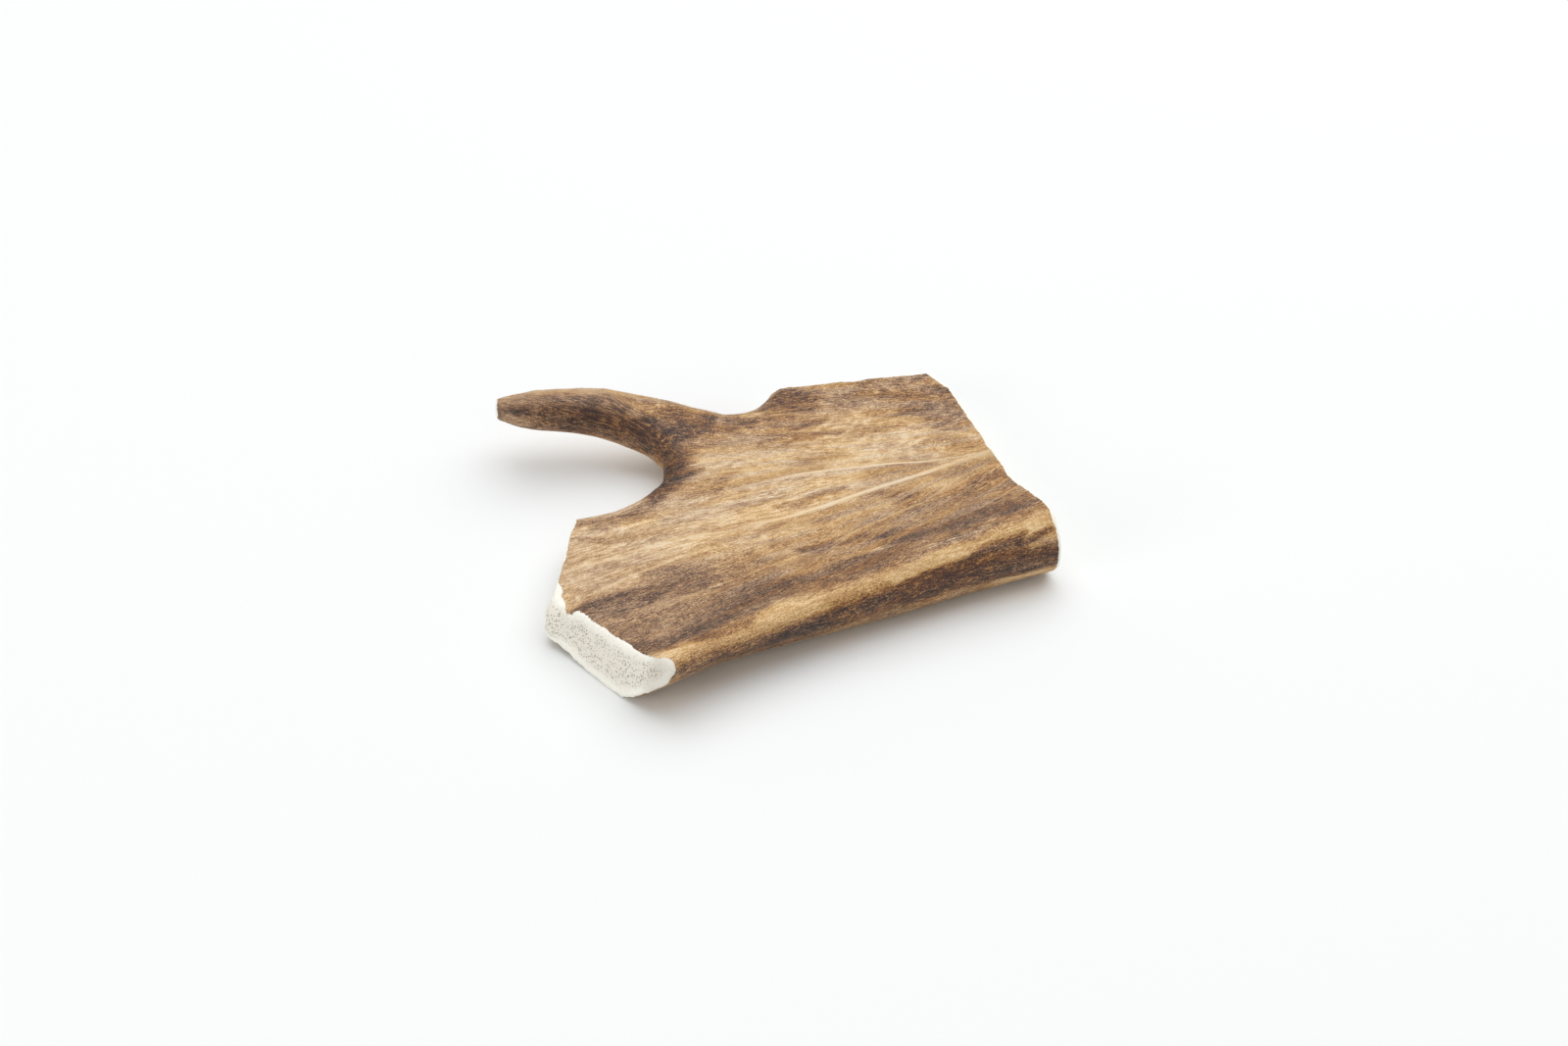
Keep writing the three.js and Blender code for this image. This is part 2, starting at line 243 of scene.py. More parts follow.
        (0.5, 1.8, [(25, -30, 13), (30, -29, 13), (36, -28, 13)]),
        (0.35, 1.0, [(3, -14.5, 12), (8, -14.2, 12), (13, -14, 12)]),
        (0.4, 1.3, [(-27, -19, 12.4), (-22, -19, 12.3), (-18, -19.5, 12.2)]),
        (0.5, 1.6, [(21, -26.5, 12), (25, -26, 12), (30, -25.5, 12)]),
        # On the thick front edge. The strokes low on it, below its gold band, are partly painted shade on the
        # underside, which turns down away from the light, and partly brown stain.
        (0.7, 3.6, [(-7, -44, 15), (-1, -44, 15), (5, -44, 15), (11, -44, 16)]),
        (0.8, 1.3, [(29.7, -54.8, 9.1), (41.2, -55.4, 9.1), (49.7, -56.0, 8.8)]),
        (0.8, 2.3, [(-29, -55, 10), (-18, -54, 9), (-6, -54, 8), (5, -54, 8), (13, -54, 8)]),
        (0.75, 3.4, [(-51, -59, 12), (-44, -57, 10), (-32, -55, 9)]),
        (0.8, 3.9, [(-57, -46, 14), (-51, -48, 14), (-44, -48, 14), (-36, -48, 15), (-31, -48, 15)]),
        (0.8, 1.7, [(-53, -60, 14), (-46, -59, 13), (-35, -56, 11), (-24, -55, 10), (-14, -54, 9)]),
        (0.8, 4.0, [(-45, -57, 10), (-30, -55, 9), (-10, -54, 8), (10, -53.5, 7), (30, -54, 7)]),
        (0.5, 1.4, [(-5, -53, 15), (5, -53, 15)]),
        (0.7, 2.2, [(-52, -60.5, 13), (-42, -58, 12), (-30, -56, 11)]),
        (0.7, 1.3, [(-38, -52.5, 16), (-35, -52.5, 16), (-31, -52.5, 16)]),
        (0.5, 2.0, [(24, -45, 16.5), (30, -45, 17), (36, -45, 17.5)]),
        (0.85, 2.4, [(-47, -47.5, 14.5), (-40, -46.5, 14.3), (-34, -46.5, 14.6), (-27, -46, 14.8),
            (-18, -43, 14.3)]),
        (0.85, 2.4, [(-14, -45, 15), (-10, -47, 15.8), (0, -48, 16.2), (15, -47.8, 16.6), (24, -46.8, 17.2),
            (40, -46, 18), (58, -45.8, 18.6)]),
        (0.6, 1.5, [(-40, -53, 16), (-35, -53, 16), (-31, -52.5, 16)]),
        (0.6, 1.6, [(32, -49, 17.8), (40, -49, 18), (47, -48.5, 18)]),
        (0.5, 1.3, [(30, -47, 18.5), (36, -47, 19), (42, -47, 19)]),
    ],
    "dark": [
        # On the tine and its root.
        (0.75, 1.0, [(-48.9, 56.4, 17.8), (-45.6, 53.0, 19.0), (-41.9, 50.5, 19.2)]),
        (0.5, 1.1, [(-49.1, 57.0, 18.5), (-49.0, 56.9, 16.3)]),
        (0.6, 1.1, [(-37.1, 48.2, 19.2), (-33.0, 47.1, 19.6), (-28.4, 45.0, 18.7)]),
        (0.85, 1.7, [(-27, 44, 18), (-23, 42, 17), (-20, 39, 16), (-16, 37, 15)]),
        (0.5, 1.6, [(-34, 46, 14.5), (-27, 43, 14), (-21, 39, 13)]),
        (0.45, 1.3, [(-34, 49, 21), (-30, 48, 21), (-25, 47, 20.5)]),
        (0.4, 1.4, [(-49, 55.5, 18), (-42, 51, 18), (-35, 47, 17.5), (-28, 43.5, 17), (-21, 39.5, 15.8),
            (-16, 36, 13.5)]),
        (0.5, 1.6, [(-8, 38.5, 15), (-3, 36, 14), (2, 34.5, 12)]),
        (0.8, 1.5, [(-15, 31, 12), (-12, 29.5, 12)]),
        # Painted shade: this stroke darkens the tine's underside along its lower edge, where it turns away
        # from the light.
        (0.3, 1.4, [(-40, 47.5, 13), (-31, 43, 12), (-24, 38.5, 11)]),
        # On the palm behind its main ridge.
        (0.85, 2.7, [(-16, 35, 14), (-15, 32, 13), (-15, 28, 12), (-16, 23, 11), (-17, 17, 11),
            (-19, 13, 12)]),
        (0.5, 1.5, [(-18.1, 15.7, 11.3), (-22.0, 11.2, 11.7), (-26.0, 8.6, 11.9), (-30.6, 6.9, 12.0),
            (-35.2, 6.5, 12.1)]),
        (0.45, 0.9, [(-35.3, 6.3, 12.1), (-39.5, 6.7, 12.1), (-43.2, 6.9, 12.3), (-48.4, 7.4, 12.6)]),
        (0.8, 1.5, [(-9.8, 31.9, 13.2), (-7.8, 30.1, 12.4), (-5.1, 30.3, 12.0)]),
        (0.55, 1.2, [(-3.3, 33.5, 12.6), (0.4, 31.7, 11.7)]),
        (0.45, 1.3, [(12.0, 30.8, 10.8), (12.6, 29.7, 10.8)]),
        (0.5, 1.8, [(21, 35, 11), (25, 39, 10)]),
        (0.7, 4.0, [(22.5, 38, 10), (25, 37, 10), (27, 35.5, 10)]),
        (0.55, 1.5, [(22.9, 23.9, 10.8), (27.3, 23.2, 10.7)]),
        (0.5, 1.2, [(23.8, 17.7, 10.9), (27.5, 17.5, 10.8), (30.2, 16.6, 10.8)]),
        (0.5, 2.4, [(51, 27, 10), (53, 25, 10), (56, 21, 10)]),
        (0.5, 1.6, [(64, 25, 10), (66, 21, 10)]),
        (0.45, 1.6, [(67, 15, 10)]),
        (0.5, 1.6, [(52, 17, 10), (55, 15, 10)]),
        (0.25, 1.0, [(-38.2, -2.6, 12.3), (-35.0, -4.7, 12.3), (-32.7, -4.4, 12.3)]),
        (0.6, 2.0, [(-4, 33, 12.5), (1, 32, 12), (5, 31, 11.5)]),
        (0.6, 2.2, [(-14.5, 30, 9.5), (-16.5, 23, 9.5), (-19, 16, 10), (-22, 11, 11)]),
        (0.65, 2.6, [(-22, 37.5, 10), (-18, 34, 9), (-16, 30, 9), (-17, 25, 9), (-19, 19, 9),
            (-22, 13, 10)]),
        (0.4, 1.8, [(21, 31, 11), (25, 30, 11), (28, 29.5, 11)]),
        # On the palm before its main ridge.
        (0.5, 1.6, [(-2.5, -28.5, 12.4), (7.0, -28.7, 12.3), (17.9, -31.3, 12.7)]),
        (0.3, 3.0, [(-14, -40, 13), (-12, -42, 14), (-8, -45, 15)]),
        (0.45, 3.3, [(4, -41, 14), (8, -43, 15), (11, -43, 16)]),
        (0.4, 2.6, [(-32, -39, 13), (-27, -42, 14), (-24, -42, 14)]),
        (0.45, 1.7, [(27, -14, 11), (31, -16, 11), (32, -19, 12)]),
        (0.55, 2.9, [(24, -39, 15), (30, -40, 16), (37, -40, 16), (44, -39, 16), (49, -41, 17)]),
        (0.25, 3.0, [(4, -40, 14), (12, -45, 16)]),
        (0.45, 1.7, [(-2, -28, 12), (4, -28, 12), (11, -29, 12)]),
        (0.55, 2.7, [(-60, -26, 13), (-54, -25, 13), (-48, -26, 13), (-42, -28, 13)]),
        (0.4, 1.6, [(-41, -27, 13), (-37, -26, 13), (-33, -25, 13)]),
        (0.15, 2.6, [(-55, -40, 13), (-48, -38, 13), (-40, -36, 13)]),
        (0.4, 1.8, [(-45, -31, 13), (-39, -31, 13), (-33, -31, 13)]),
        (0.4, 1.6, [(-54, -31, 13), (-50, -31, 13), (-46, -31, 13)]),
        # On the thick front edge. The strokes low on it, below its gold band, are partly painted shade on the
        # underside, which turns down away from the light, and partly dark stain.
        (0.75, 0.8, [(2, -54, 12.8), (12, -53.7, 13.6), (24, -53.2, 15.1), (30, -53.2, 15.4),
            (36.8, -53.2, 15.8), (43.5, -53.6, 15.8), (49.7, -53.8, 16.0), (54.7, -53.6, 16.6)]),
        (0.9, 1.4, [(17.7, -54.4, 12.3), (27.1, -54.1, 13.4), (35.7, -54.4, 13.4), (44.2, -55.0, 12.9)]),
        (0.8, 1.3, [(-23.1, -54.9, 10.3), (-17.3, -54.8, 10.8), (-12.8, -54.7, 11.7), (-6.8, -54.5, 12.2),
            (2.2, -54.4, 11.3), (11.2, -54.4, 10.8), (17.1, -54.5, 10.9)]),
        (0.5, 1.3, [(-17.0, -54.3, 9.2), (-6.6, -54.3, 9.0), (3.8, -54.3, 8.7)]),
        (0.7, 2.4, [(-57, -46, 14), (-55, -49, 14), (-51, -50, 15)]),
        (0.4, 2.3, [(-47, -47, 14), (-41, -49, 15)]),
        (0.35, 2.5, [(-39, -44, 14), (-34, -46, 14)]),
        (0.8, 2.2, [(60, -57, 11), (49, -56, 11.5), (41, -55.6, 11.6), (33, -55, 11.8), (22, -54.6, 11.5)]),
        (0.5, 1.2, [(18, -55, 9), (24, -55, 9), (30, -55, 9)]),
        (0.5, 1.2, [(33, -53, 16), (38, -53, 16), (44, -53, 16)]),
        (0.5, 1.2, [(-24, -52, 6), (-17, -52, 6), (-10, -52, 6)]),
        (0.6, 1.5, [(-45, -59, 11.5), (-40, -57.6, 11.2), (-34, -56.4, 11), (-22, -55, 10),
            (-5, -54.5, 9)]),
        (0.75, 1.6, [(-35, -54, 8), (-27, -54.5, 9.5), (-20.5, -54.9, 11), (-9, -54.6, 10.8),
            (-1.6, -54.5, 11.6), (10.8, -54.4, 11.5)]),
        (0.7, 1.6, [(5, -54.2, 9.3), (15, -54.3, 9.6), (25, -54.8, 9.6), (35, -55.1, 9.3), (45, -55.7, 9.2),
            (56, -56.4, 9)]),
        (0.3, 1.2, [(-38, -53, 16), (-33, -52.8, 16)]),
        (0.5, 1.0, [(33, -52.6, 16.6), (39, -52.4, 17), (45, -52.5, 17)]),
    ],
}

# Where wear has moved the corners of the cuts: the corner seen from above, the radius up to which it is moved
# by the whole move and the one where that ends, the heights between which it sets in and those between which
# it ends, and the move.
ANY_HEIGHT = (-9, -8, 98, 99)
WORN_CORNERS = [
    ((-66.9, -18.6), (1.5, 8), (0, 4, 9, 13), (-1.5147, 0.7718, 0)),  # it swells out beside the notch,
    ((-65.6, -20.5), (1, 8), (6, 13, 98, 99), (0, 0, -1.8)),          # and is rubbed down on top
    ((-50.3, 9.3), (0.5, 4), ANY_HEIGHT, (0.42, -0.36, 0)),           # the corner at the notch
    ((46.4, 37.6), (0.5, 4), ANY_HEIGHT, (-0.12, -0.6, 0)),           # both corners of the back edge
    ((66, 26), (0.5, 4), ANY_HEIGHT, (-0.1, -0.5, 0)),
]

# Spots where the bare bone shows wider along the cut's edge, or less wide: where, the radii, and how much.
BARE_SPOTS = [
    ((-65.6, -17.5, 13.0), (2.5, 5.5), 1.1),
    ((-65.0, -22.4, 13.2), (1.0, 4.0), -0.9),
    ((-55, -59, 16.3), (1.0, 3.5), 1.4),
]

# ---- The body ----------------------------------------------------------------------------------------------

VOXEL = 0.65 * MM         # fine enough for the ridges, and under 200,000 triangles
WELD = 0.005 * MM         # joins the loose triangles of a node
ROOT_PUSH = 1.2 * MM      # how far the root of the tine is pushed into the palm
ROOT_LENGTH = 6           # and over how much of its length
CREASE_ANGLE = 32         # sharper edges of the rough shell stay sharp
SMOOTHINGS = 3            # passes over the whole body,
BARK_SMOOTHINGS = 12      # and more over the bark,
BARK_DEPTH = 1.2          # which begins this far from the planes of the cuts
CUT_DEPTH = 0.9           # a sawn face with its worn edge reaches this far from its plane
FIT_LIMIT = 1.5 * MM      # the smoothed body moves back out by this much at most,
FIT_PASSES = 14           # evened out in this many passes

TINE_RISE = 10.4          # how far the tine climbs,
RISE_FROM_TO = (-9, 29)   # and between which distances beyond the fork
TINE_GRAIN_TO = 20        # the grain has its real width on the tine from this distance,
TINE_GRAIN_WIDTH = 0.95   # or nearly so
SWELL_HEIGHT = 0.35       # relief of the bark
GUTTER_DEPTH = 0.24
FIBRE_HEIGHT = 0.10
RIDGE_HEIGHT = 0.34
MEAN_RELIEF = 0.1
PIT_DEPTHS = {"brown": 0.12, "dark": 0.1}
FLOOR_GAP = 0.05          # nothing is moved closer than this to the floor
CUT_HOLDS = (0.5, 1.6)    # depths below which relief can't pass a cut, and above which it is free
STROKE_EDGE = (0.4, 1.7)  # a stroke fades between these half-widths
STROKE_STRETCH = (0.55, 1, 0.8)  # distances in x and z count for less than in y


def mesh_object(name, bm):
    mesh = bpy.data.meshes.new(name)
    bm.to_mesh(mesh)
    bm.free()
    piece = bpy.data.objects.new(name, mesh)
    bpy.context.scene.collection.objects.link(piece)
    return piece


def points_of(bm):
    return np.array([v.co for v in bm.verts]) / MM


def smooth(low, high, x):
    """0 up to low, 1 from high, and a smooth step between them."""
    s = np.clip((x - low) / (high - low), 0, 1)
    return s * s * (3 - 2 * s)


def around(points, spot, radii):
    """1 up to the first radius from a spot, and 0 from the second. A spot may have no height."""
    return 1 - smooth(*radii, np.linalg.norm(points[:, :len(spot)] - spot, axis=1))


def beyond_fork(points):
    return (points[:, :2] - FORK_AT) @ FORK_OUT


def joined_nodes():
    """Both nodes as one shell. The root of the tine is pushed into the palm, so that the fork closes."""
    bm = bmesh.new()
    for name in ("palm", "tine"):
        part = bmesh.new()
        part.from_mesh(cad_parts[name].data)
        bmesh.ops.remove_doubles(part, verts=part.verts, dist=WELD)
        if name == "tine":
            push = Vector((*FORK_OUT, 0)) * -ROOT_PUSH
            for v, out in zip(part.verts, beyond_fork(points_of(part))):
                v.co += push * min(1, max(0, 1 - out / ROOT_LENGTH))
        welded = bpy.data.meshes.new(name)
        part.to_mesh(welded)
        part.free()
        bm.from_mesh(welded)
    bmesh.ops.join_triangles(bm, faces=bm.faces, angle_face_threshold=math.radians(25),
                             angle_shape_threshold=math.radians(60))
    crease = bm.edges.layers.float.new("crease_edge")
    for e in bm.edges:
        if len(e.link_faces) == 2 and e.calc_face_angle() > math.radians(CREASE_ANGLE):
            e[crease] = 1.0
    return mesh_object("rough_antler", bm)


def body_mesh():
    """The rough shell rounded and remeshed evenly, as a bmesh with the edges of its cuts a little worn."""
    rough = joined_nodes()
    surface = BVHTree.FromPolygons([v.co for v in rough.data.vertices],
                                   [p.vertices for p in rough.data.polygons])
    rounded = rough.modifiers.new("rounded", "SUBSURF")
    rounded.levels = rounded.render_levels = 2
    even = rough.modifiers.new("even", "REMESH")
    even.mode = "VOXEL"
    even.voxel_size = VOXEL
    evaluated = rough.evaluated_get(bpy.context.evaluated_depsgraph_get())
    bm = bmesh.new()
    bm.from_mesh(evaluated.to_mesh())
    bpy.data.objects.remove(rough)
    depth = saw_depth(points_of(bm))[0]
    bark = [v for v, d in zip(bm.verts, depth) if d > BARK_DEPTH]
    for verts, passes in ((bm.verts, SMOOTHINGS), (bark, BARK_SMOOTHINGS)):
        for _ in range(passes):
            bmesh.ops.smooth_vert(bm, verts=verts, factor=0.5, use_axis_x=True, use_axis_y=True,
                                  use_axis_z=True)
    fit_back(bm, surface, depth)
    return bm


def averaged(bm, values, passes):
    """The values with each vertex averaged with its neighbours, over and over."""
    a, b = np.array([[v.index for v in e.verts] for e in bm.edges]).T
    count = np.bincount(a, minlength=len(values)) + np.bincount(b, minlength=len(values))
    for _ in range(passes):
        neighbours = np.bincount(a, values[b], len(values)) + np.bincount(b, values[a], len(values))
        values = 0.5 * values + 0.5 * neighbours / count
    return values


def fit_back(bm, surface, depth):
    """Moves the smoothed body back out on to the surface that it shrank from, leaving the facets behind."""
    bm.normal_update()
    bm.verts.index_update()
    gap = []
    for v in bm.verts:
        nearest, normal, _, _ = surface.find_nearest(v.co)
        gap.append((nearest - v.co).dot(normal))
    gap = averaged(bm, np.clip(gap, -FIT_LIMIT, FIT_LIMIT) * smooth(0.2, 1.6, depth), FIT_PASSES)
    for v, g in zip(bm.verts, gap):
        v.co += v.normal * g


def plane_of(cut):
    (x, y), facing, lean = cut
    f, l = math.radians(facing), math.radians(lean)
    outward = [math.cos(f) * math.cos(l), math.sin(f) * math.cos(l), math.sin(l)]
    return np.array([x, y, 0]), np.array(outward)


def saw_depth(points):
    """How far each point lies beneath the nearest saw cut, and that cut's outward direction."""
    tine = beyond_fork(points) > -2
    best = np.full(len(points), np.inf)
    outward = np.zeros((len(points), 3))
    for cut, there in [(c, ~tine) for c in PALM_CUTS] + [(TINE_CUT, tine)]:
        at, normal = plane_of(cut)
        depth = np.where(there, (at - points) @ normal, np.inf)
        nearer = depth < best
        best = np.where(nearer, depth, best)
        outward[nearer] = normal
    return best, outward


def grain_of(points):
    """Along the grain, across it, and up: the coordinates in which the bark's streaks run straight."""
    x, y, z = points.T
    lines = [(share, np.interp(x, *zip(*line))) for share, line in GRAIN_LINES]
    across = np.full(len(points), float(lines[0][0])) + np.minimum(y - lines[0][1], 0)
    for (a, ya), (b, yb) in zip(lines, lines[1:]):
        across += (b - a) * np.clip((y - ya) / (yb - ya), 0, 1)
    across += np.maximum(y - lines[-1][1], 0)
    # On the tine the grain keeps its real width, so it runs out at the tip instead of narrowing.
    out = beyond_fork(points)
    from_edge = y - np.interp(x, *zip(*TINE_EDGE))
    across += smooth(0, TINE_GRAIN_TO, out) * (TINE_SHARE + TINE_GRAIN_WIDTH * from_edge - across)
    return np.stack([x, across, z - TINE_RISE * smooth(*RISE_FROM_TO, out)], axis=1)


def fractal(points, scale, octaves=4, offset=0.0):
    """Smooth noise of about -1 to 1 at each point. A larger scale is finer."""
    scaled = points * np.array(scale) + offset
    return np.array([noise.fractal(p, 0.9, 2.1, octaves) for p in scaled])


def ridge_fields(points):
    """For each ridge, its name, each point's signed distance from it in half-widths, and how strongly it
    stands out there."""
    x, y, z = points.T
    top = smooth(4, 8, z)
    for name, line, strength, half in RIDGES:
        distance = y - np.interp(x, *zip(*line))
        yield name, distance / half, np.interp(x, *zip(*strength), left=0, right=0) * top


def wandered(points):
    """The points moved a little to and fro, so that the outlines of the strokes, stain and painted light
    alike, wander.
    """
    moved = points.copy()
    moved[:, 0] += 4.0 * fractal(points, (0.08, 0.2, 0.2), 3, 31.0)
    moved[:, 1] += 0.6 * fractal(points, (0.05, 0.25, 0.25), 3, 57.0)
    return moved


def stain_and_light_field(kind, points):
    """The strength of one kind of stroke at each point, from 0 to 1: stain, with some painted highlight and
    painted shade among the strokes. A stroke is longer than it is wide.
    """
    clear = np.ones(len(points))
    full, faded = STROKE_EDGE
    for strength, half, line in STAINS_AND_PAINTED_LIGHT[kind]:
        nearest = np.full(len(points), np.inf)
        for a, b in zip(np.array(line, float), np.array(line[1:], float)):
            share = np.clip(((points - a) @ (b - a)) / ((b - a) @ (b - a)), 0, 1)
            away = (points - a - share[:, None] * (b - a)) * STROKE_STRETCH
            nearest = np.minimum(nearest, np.linalg.norm(away, axis=1))
        clear *= 1 - strength * (1 - smooth(full * half, faded * half, nearest))
    return 1 - clear


def relief(points, grain):
    """How far the bark stands out at each point: swells, gutters along the grain, fibres, the pale ridges,
    and pits under the brown and dark strokes, painted shade among them."""
    swells = SWELL_HEIGHT * fractal(points, (0.035, 0.06, 0.06), 3)
    gutters = GUTTER_DEPTH * fractal(grain, (0.03, 0.34, 0.34), 3, 7.0)
    fibres = FIBRE_HEIGHT * fractal(grain, (0.12, 0.9, 0.9), 3, 13.0)
    ridges = sum(RIDGE_HEIGHT * stands * np.exp(-((distance / 1.5) ** 2))
                 for _, distance, stands in ridge_fields(points))
    moved = wandered(points)
    pits = sum(depth * stain_and_light_field(kind, moved) for kind, depth in PIT_DEPTHS.items())
    return swells + gutters + fibres + ridges - pits + MEAN_RELIEF


def worn_corners(points):
    """How far wear moves each point."""
    z = points[:, 2]
    moved = np.zeros(points.shape)
    for corner, radii, (sets_in, full, wanes, over), move in WORN_CORNERS:
        share = around(points, corner, radii) * smooth(sets_in, full, z) * (1 - smooth(wanes, over, z))
        moved += share[:, None] * move
    return moved


def worn_width(points):
    """How much wider than usual, in millimetres, the bare bone shows along the edges of the saw cuts. Where
    this is below 0, bark hangs over the cut."""
    x, y, z = points.T
    waves = fractal(points, (0.16, 0.16, 0.16), 3, 83.0)
    at_palm_end = 1 - smooth(-58, -50, x)
    palm_end = at_palm_end * np.clip(1.1 * waves, -0.15, 1.0)
    below = at_palm_end * 0.8 * (1 - smooth(0.5, 3, z))
    beam_end = smooth(50, 56, x) * (0.4 + 0.35 * waves + 0.2 * smooth(-50, -20, y))
    spots = sum(more * around(points, spot, radii) for spot, radii, more in BARE_SPOTS)
    return palm_end + below + beam_end + spots


def carve(bm):
    """Moves the surface by its relief, never through a saw cut, and by its wear."""
    bm.normal_update()
    points = points_of(bm)
    normals = np.array([v.normal for v in bm.verts])
    depth, outward = saw_depth(points)
    move = relief(points, grain_of(points))[:, None] * normals
    near_cut = 1 - smooth(*CUT_HOLDS, depth)
    move -= outward * ((move * outward).sum(axis=1) * near_cut)[:, None]
    move += worn_corners(points)
    lowest = np.minimum(FLOOR_GAP - points[:, 2], 0)
    move[:, 2] = np.maximum(move[:, 2], lowest)
    for v, co in zip(bm.verts, (points + move) * MM):
        v.co = co


def set_attribute(mesh, name, kind, values):
    key = {"FLOAT": "value", "FLOAT_VECTOR": "vector"}[kind]
    mesh.attributes.new(name, kind, "POINT").data.foreach_set(key, values.astype(np.float32).ravel())


def rind_of(points, depth):
    """On the saw cuts, how far each point lies in from the bark. Elsewhere it is 0."""
    bark_points = points[depth > CUT_DEPTH]
    tree = KDTree(len(bark_points))
    for i, p in enumerate(bark_points):
        tree.insert(p, i)
    tree.balance()
    return np.array([tree.find(p)[2] if d < CUT_DEPTH else 0.0 for p, d in zip(points, depth)])


def make_antler():
    bm = body_mesh()
    plain = points_of(bm)
    carve(bm)
    piece = mesh_object("antler", bm)
    mesh = piece.data
    mesh.shade_smooth()
    points = np.array([v.co for v in mesh.vertices]) / MM
    depth = saw_depth(plain)[0]
    set_attribute(mesh, "grain", "FLOAT_VECTOR", grain_of(points))
    set_attribute(mesh, "saw_depth", "FLOAT", depth)
    set_attribute(mesh, "rind", "FLOAT", rind_of(points, depth))
    set_attribute(mesh, "worn", "FLOAT", worn_width(points))
    moved = wandered(plain)
    for kind in STAINS_AND_PAINTED_LIGHT:
        set_attribute(mesh, kind, "FLOAT", stain_and_light_field(kind, moved))
    for name, distance, stands in ridge_fields(plain):
        set_attribute(mesh, "ridge " + name, "FLOAT_VECTOR",
                      np.stack([distance, stands, np.zeros(len(distance))], axis=1))
    return piece


# ---- Materials ---------------------------------------------------------------------------------------------

# Patterns in the bark and the bone: whether each follows the grain, its scale per millimetre, detail,
# roughness and distortion. Streaks are about 20 mm long and 3 mm wide, rust 16 mm and 3.5 mm, fibres 6 mm and
# 0.6 mm, and threads 2 mm and 0.3 mm. Specks and grit are 0.3 to 0.5 mm wide, mottle 2 mm, dense patches 4 mm
# and blotches 12 mm.
PATTERNS = {
    "streaks": (True, (0.045, 0.32, 0.32), 5, 0.55, 0.5),
    "fibres": (True, (0.16, 1.4, 1.4), 4, 0.6, 0.3),
    "threads": (True, (0.5, 3.2, 3.2), 3, 0.6, 0.0),
    "rust": (True, (0.06, 0.28, 0.28), 1, 0.5, 0.0),
    "specks": (False, (2.0, 2.6, 2.6), 3, 0.7, 0.0),
    "grit": (False, (1.9, 1.9, 0.6), 3, 0.6, 0.0),
    "mottle": (False, (0.35, 0.6, 0.6), 4, 0.65, 0.0),
    "dense": (False, (0.22, 0.22, 0.3), 3, 0.5, 0.0),
    "blotches": (False, (0.07, 0.09, 0.09), 4, 0.55, 0.0),
}
PORE_SCALE = 1.75         # cells per millimetre, each with a pore in its middle

# Tones run from 0, black, to 1, white: the bare bark's, those that the strokes of stain and of painted light
# and shade pull it towards, and the ridges'.
BARK_TONE = 0.655
STAIN_AND_LIGHT_TONES = {"pale": 0.76, "gold": 0.72, "brown": 0.44, "dark": 0.25}
RIDGE_TONE = 0.86

# How much each pattern changes the bark's tone, and how much more or less it does on the tine, which is more
# streaked, and towards the back edge, which is more mottled.
BARK_PATTERN = {"streaks": 0.22, "fibres": 0.40, "threads": 0.65, "mottle": 0.34, "specks": 0.78,
                "blotches": 0.26}
MORE_ON_TINE = {"streaks": 0.15, "fibres": 0.25, "mottle": -0.2, "specks": -0.3}
MORE_AT_BACK = {"streaks": -0.12, "fibres": -0.12, "mottle": 0.26}

# What frays the edges of the strokes of stain and of painted light and shade, of the cuts, and of the grey on
# the palm end's thin tip.
RAGGED_STAIN_AND_LIGHT = {"streaks": 1.4, "fibres": 1.5, "mottle": 0.9}
RAGGED_CUT = {"fibres": 0.9, "mottle": 0.6}
RAGGED_TIP = {"mottle": 5.0}
STAIN_AND_LIGHT_FRAY = 7.0          # how strongly it does so on a stroke, stain and painted light alike
RIDGE_FRAY = 1.6          # how far the fibres move a ridge's edge, in half-widths
RIM_WANDER = 3.0          # how far blotches move the edge of the bone's core, in millimetres

# Where one thing gives way to another: the value at which it starts, and the one at which it is complete.
BACK_ACROSS = (10, 34)    # the mottled back, in shares across the grain
TINE_ACROSS = (34, 40)    # the tine, likewise,
TINE_ALONG = (-8, -18)    # and in x
BEAM_ALONG = (-45, 0)     # the warmer side of the palm, in x
RIDGE_SIDE = (1.5, 0.25)  # a ridge, in half-widths from its middle
RUST_PATCH = (0.30, 0.66)
CUT_EDGE = (0.62, 0.45)   # a sawn face, by the depth beneath its plane
CORE_EDGE = (1.3, 3.6)    # the porous core, by the distance from the bark
PORE_EDGE = (0.42, 0.12)  # a pore, in cells from its middle
DENSE_PATCH = (0.36, 0.56)
GRIT_GRAIN = (0.5, 0.75)
TIP_FRONT = (51, 56)      # the thin tip of the palm end, by -y,
TIP_ALONG = (0, -30)      # and in x

# Colours by tone.
BARK_COLOURS = [
    (0.149, "#090000"), (0.243, "#3D2512"), (0.314, "#593F2B"), (0.361, "#6B4D39"), (0.482, "#927053"),
    (0.557, "#A78463"), (0.616, "#B6946F"), (0.675, "#C2A380"), (0.733, "#D1B38C"), (0.827, "#E3CBAA"),
    (0.914, "#EFE1CC"),
]
GOLDEN_COLOURS = [
    (0.196, "#3F1E10"), (0.294, "#633B1C"), (0.412, "#8F5C25"), (0.529, "#AC7D44"), (0.627, "#C3975A"),
    (0.706, "#D5AC6F"), (0.784, "#E4C08B"), (0.863, "#EED4AC"),
]
RIM_COLOUR = "#FDF9EE"
CORE_COLOUR = "#EEE8DA"
GRIT_COLOUR = "#CFC6B3"
PORE_COLOUR = "#7A7263"
TIP_COLOUR = "#A89C8C"
PAPER_COLOUR = "#F2F4F4"

